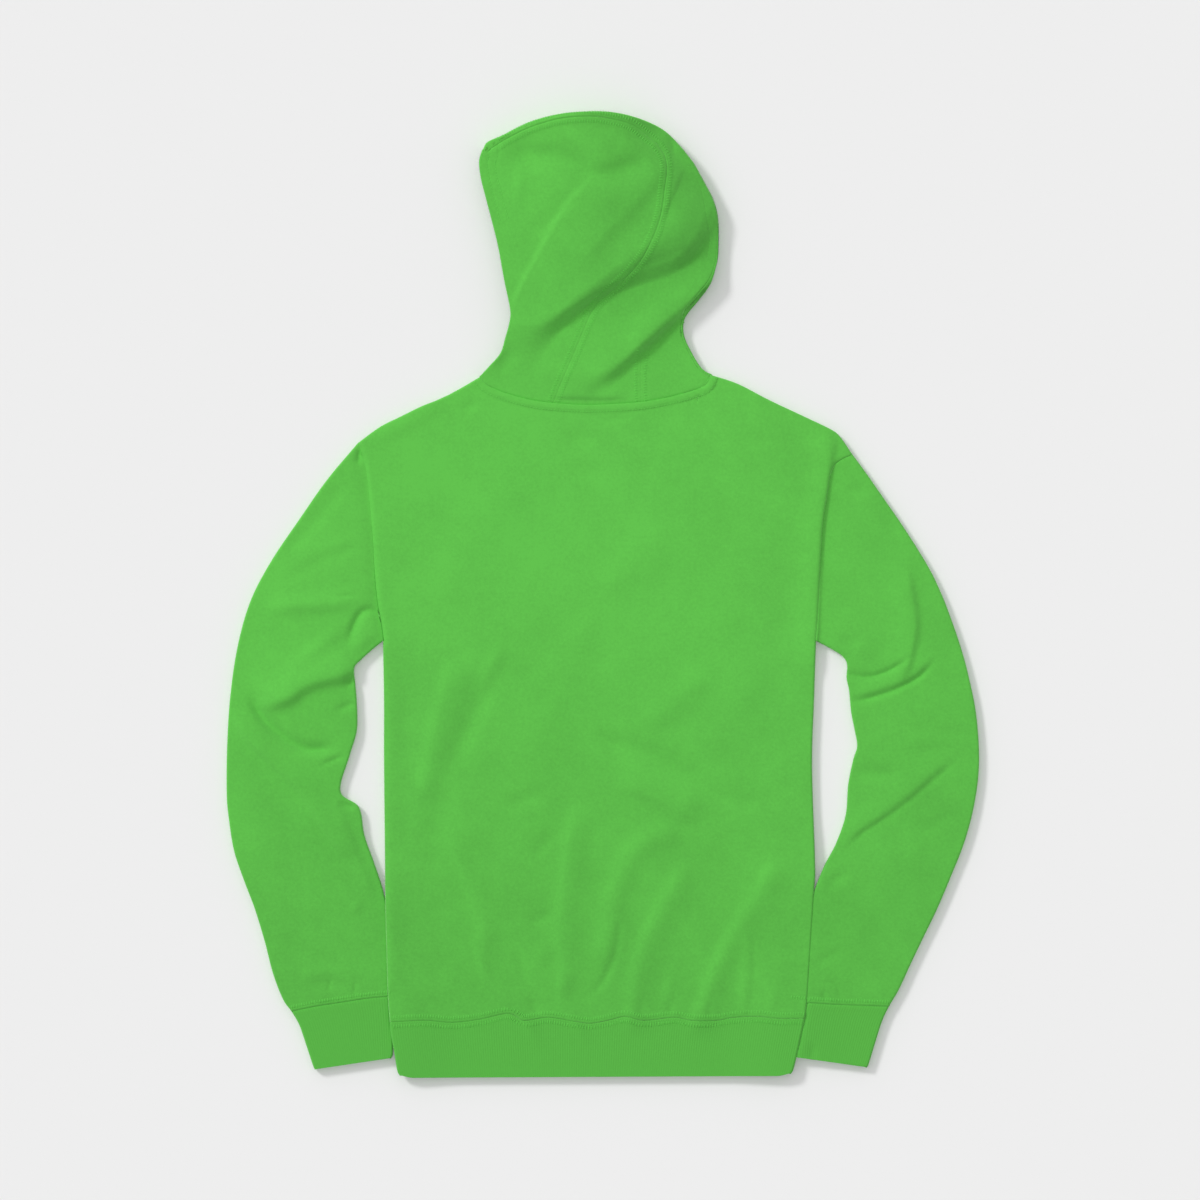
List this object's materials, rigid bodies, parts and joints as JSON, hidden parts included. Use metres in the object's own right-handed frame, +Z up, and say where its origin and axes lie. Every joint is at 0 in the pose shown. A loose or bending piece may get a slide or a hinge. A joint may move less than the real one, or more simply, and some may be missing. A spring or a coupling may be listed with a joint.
{
  "type": "pullover hoodie",
  "caption": "Plain fleece pullover hoodie laid flat and face down, long sleeves tucked to the sides, rib cuffs and waistband, panelled hood turned to one side.",
  "frame": {"origin": "centre of the garment's outline, on the surface it lies on", "axes": "+Y from the hem to the top of the hood, +X from the wearer's left sleeve to the right one, +Z up off the surface, out of the garment's back"},
  "size_m": [0.7522, 0.9665, 0.0226],
  "materials": {
    "fleece": "soft matte knitted face, bright green",
    "rib": "fine matte rib knit, bright green"
  },
  "bodies": {
    "root": {"back": "fleece", "front": "fleece", "sleeve_left": "fleece", "sleeve_right": "fleece", "hood_left": "fleece", "hood_center": "fleece", "hood_right": "fleece", "cuff_left": "rib", "cuff_right": "rib", "waistband": "rib"}
  },
  "joints": []
}
